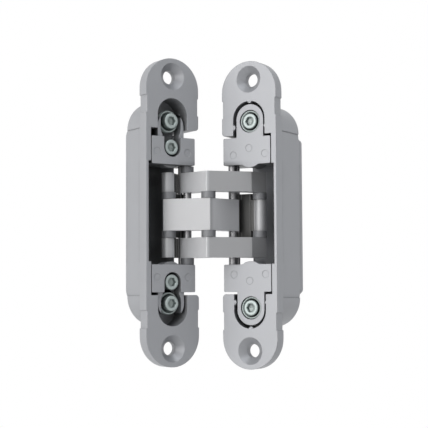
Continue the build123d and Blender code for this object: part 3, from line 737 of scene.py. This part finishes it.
class HINGE_OT_stage(bpy.types.Operator):
    """Set the camera, the floor, the soft lights and the white surroundings"""

    bl_idname = "hinge.stage"
    bl_label = "Stage"

    def execute(self, context):
        stage = context.scene.hinge_stage
        scene = context.scene
        scene.view_settings.view_transform = "Standard"
        self.camera(scene)
        self.floor(stage)
        self.world(scene, stage)
        # place from the hinge's middle, width, power and colour of each soft light
        self.light("key light", (-0.8, -0.02, 0.1), 1.1, stage.key_power, WARM)
        self.light("front light", (-0.75, -0.3, 0.1), 0.5, stage.front_power, WARM)
        self.light("top light", (-0.1, -0.45, 0.8), 0.7, stage.top_power, COOL)
        self.light("side light", (0.8, -0.4, 0.1), 0.7, stage.side_power, COOL)
        return {"FINISHED"}

    @staticmethod
    def camera(scene):
        """A camera at the photograph's place: heading clockwise from +Y, pitch up and roll, in radians."""
        heading, pitch, roll = 0.6010, 0.0674, -0.0048
        focal_pixels, image_width = 1197.0, 428.0
        forward = np.array((math.sin(heading) * math.cos(pitch), math.cos(heading) * math.cos(pitch),
                            math.sin(pitch)))
        level = np.array((math.cos(heading), -math.sin(heading), 0.0))
        upward = np.cross(level, forward)
        right = math.cos(roll) * level + math.sin(roll) * upward
        up = -math.sin(roll) * level + math.cos(roll) * upward
        data = bpy.data.cameras.new("camera")
        data.sensor_width = 36.0
        data.lens = focal_pixels / image_width * data.sensor_width
        data.clip_start = 0.01
        data.clip_end = 20.0
        camera = bpy.data.objects.new("camera", data)
        scene.collection.objects.link(camera)
        place = np.eye(4)
        place[:3, 0], place[:3, 1], place[:3, 2] = right, up, -forward
        place[:3, 3] = CAMERA_PLACE
        camera.matrix_world = Matrix(place.tolist())
        scene.camera = camera

    @staticmethod
    def light(name, offset, width, power, colour):
        """A round soft light, offset from the hinge's middle and facing it, unseen by the camera."""
        data = bpy.data.lights.new(name, "AREA")
        data.shape = "DISK"
        data.size = width
        data.energy = power
        data.color = colour
        lamp = bpy.data.objects.new(name, data)
        bpy.context.collection.objects.link(lamp)
        back = np.array(offset) / np.linalg.norm(offset)
        side = np.cross((0, 0, 1), back)
        side /= np.linalg.norm(side)
        place = np.eye(4)
        place[:3, 0], place[:3, 1], place[:3, 2] = side, np.cross(back, side), back
        place[:3, 3] = np.add(HINGE_MIDDLE, offset)
        lamp.matrix_world = Matrix(place.tolist())
        lamp.visible_camera = False

    @staticmethod
    def floor(stage):
        """A wide pale floor under the hinge, white where it is seen directly."""
        half_width = 6.0
        mesh = bpy.data.meshes.new("floor")
        corners = np.array([(-1, -1), (1, -1), (1, 1), (-1, 1)]) * half_width
        mesh.from_pydata([(x, y, -stage.floor_drop) for x, y in corners.tolist()], [], [(0, 1, 2, 3)])
        floor = bpy.data.objects.new("floor", mesh)
        bpy.context.collection.objects.link(floor)
        material, tree, shader = new_material("pale floor")
        speck = noise(tree, 4.0, 2.0)
        tree.links.new(tinted(tree, speck, (0.86, 0.86, 0.86), 0.99, 1.01), shader.inputs["Base Color"])
        shader.inputs["Roughness"].default_value = 0.8
        # seen directly it is white, less the soft shadow of what stands over it
        shadow = tree.nodes.new("ShaderNodeAmbientOcclusion")
        shadow.inputs["Distance"].default_value = 1.5 * stage.floor_drop
        white = tree.nodes.new("ShaderNodeEmission")
        white.inputs["Strength"].default_value = 1.0
        tree.links.new(shadow.outputs["Color"], white.inputs["Color"])
        mix = tree.nodes.new("ShaderNodeMixShader")
        tree.links.new(seen_directly(tree), mix.inputs["Fac"])
        tree.links.new(shader.outputs["BSDF"], mix.inputs[1])
        tree.links.new(white.outputs["Emission"], mix.inputs[2])
        output = next(n for n in tree.nodes if n.type == "OUTPUT_MATERIAL")
        tree.links.new(mix.outputs["Shader"], output.inputs["Surface"])
        mesh.materials.append(material)

    @staticmethod
    def world(scene, stage):
        """Even grey light for the object, plain white for what the camera sees directly."""
        world = bpy.data.worlds.new("studio")
        scene.world = world
        world.use_nodes = True
        tree = world.node_tree
        tree.nodes.clear()
        output = tree.nodes.new("ShaderNodeOutputWorld")
        even = tree.nodes.new("ShaderNodeBackground")
        even.inputs["Color"].default_value = (0.95, 0.97, 1.0, 1)
        even.inputs["Strength"].default_value = stage.sky_level
        white = tree.nodes.new("ShaderNodeBackground")
        white.inputs["Color"].default_value = (1, 1, 1, 1)
        white.inputs["Strength"].default_value = 1.0
        mix = tree.nodes.new("ShaderNodeMixShader")
        tree.links.new(seen_directly(tree), mix.inputs["Fac"])
        tree.links.new(even.outputs["Background"], mix.inputs[1])
        tree.links.new(white.outputs["Background"], mix.inputs[2])
        tree.links.new(mix.outputs["Shader"], output.inputs["Surface"])


class HINGE_PT_panel(bpy.types.Panel):
    """The values that a user may change and the steps, in the sidebar"""

    bl_idname = "HINGE_PT_panel"
    bl_label = "Concealed Hinge"
    bl_space_type = "VIEW_3D"
    bl_region_type = "UI"
    bl_category = "Hinge"

    def draw(self, context):
        layout = self.layout
        for group in (context.scene.hinge_finish, context.scene.hinge_detail, context.scene.hinge_stage):
            for name in group.bl_rna.properties.keys():
                if name not in {"rna_type", "name"}:
                    layout.prop(group, name)
        for step in STEPS:
            layout.operator(step.bl_idname)


STEPS = (HINGE_OT_finishes, HINGE_OT_screws, HINGE_OT_collars, HINGE_OT_bushes, HINGE_OT_shoulders,
         HINGE_OT_nubs, HINGE_OT_link_lip, HINGE_OT_stage)
CLASSES = (HingeFinish, HingeDetail, HingeStage, *STEPS, HINGE_PT_panel)


def register():
    """Makes the classes known and hangs the values on the scene."""
    for cls in CLASSES:
        bpy.utils.register_class(cls)
    bpy.types.Scene.hinge_finish = bpy.props.PointerProperty(type=HingeFinish)
    bpy.types.Scene.hinge_detail = bpy.props.PointerProperty(type=HingeDetail)
    bpy.types.Scene.hinge_stage = bpy.props.PointerProperty(type=HingeStage)


def unregister():
    """Takes the values and the classes away again."""
    del bpy.types.Scene.hinge_stage
    del bpy.types.Scene.hinge_detail
    del bpy.types.Scene.hinge_finish
    for cls in reversed(CLASSES):
        bpy.utils.unregister_class(cls)


def main():
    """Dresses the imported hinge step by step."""
    register()
    bpy.ops.hinge.finishes()
    bpy.ops.hinge.screws()
    bpy.ops.hinge.collars()
    bpy.ops.hinge.bushes()
    bpy.ops.hinge.shoulders()
    bpy.ops.hinge.nubs()
    bpy.ops.hinge.link_lip()
    bpy.ops.hinge.stage()


if __name__ == "__main__":
    main()
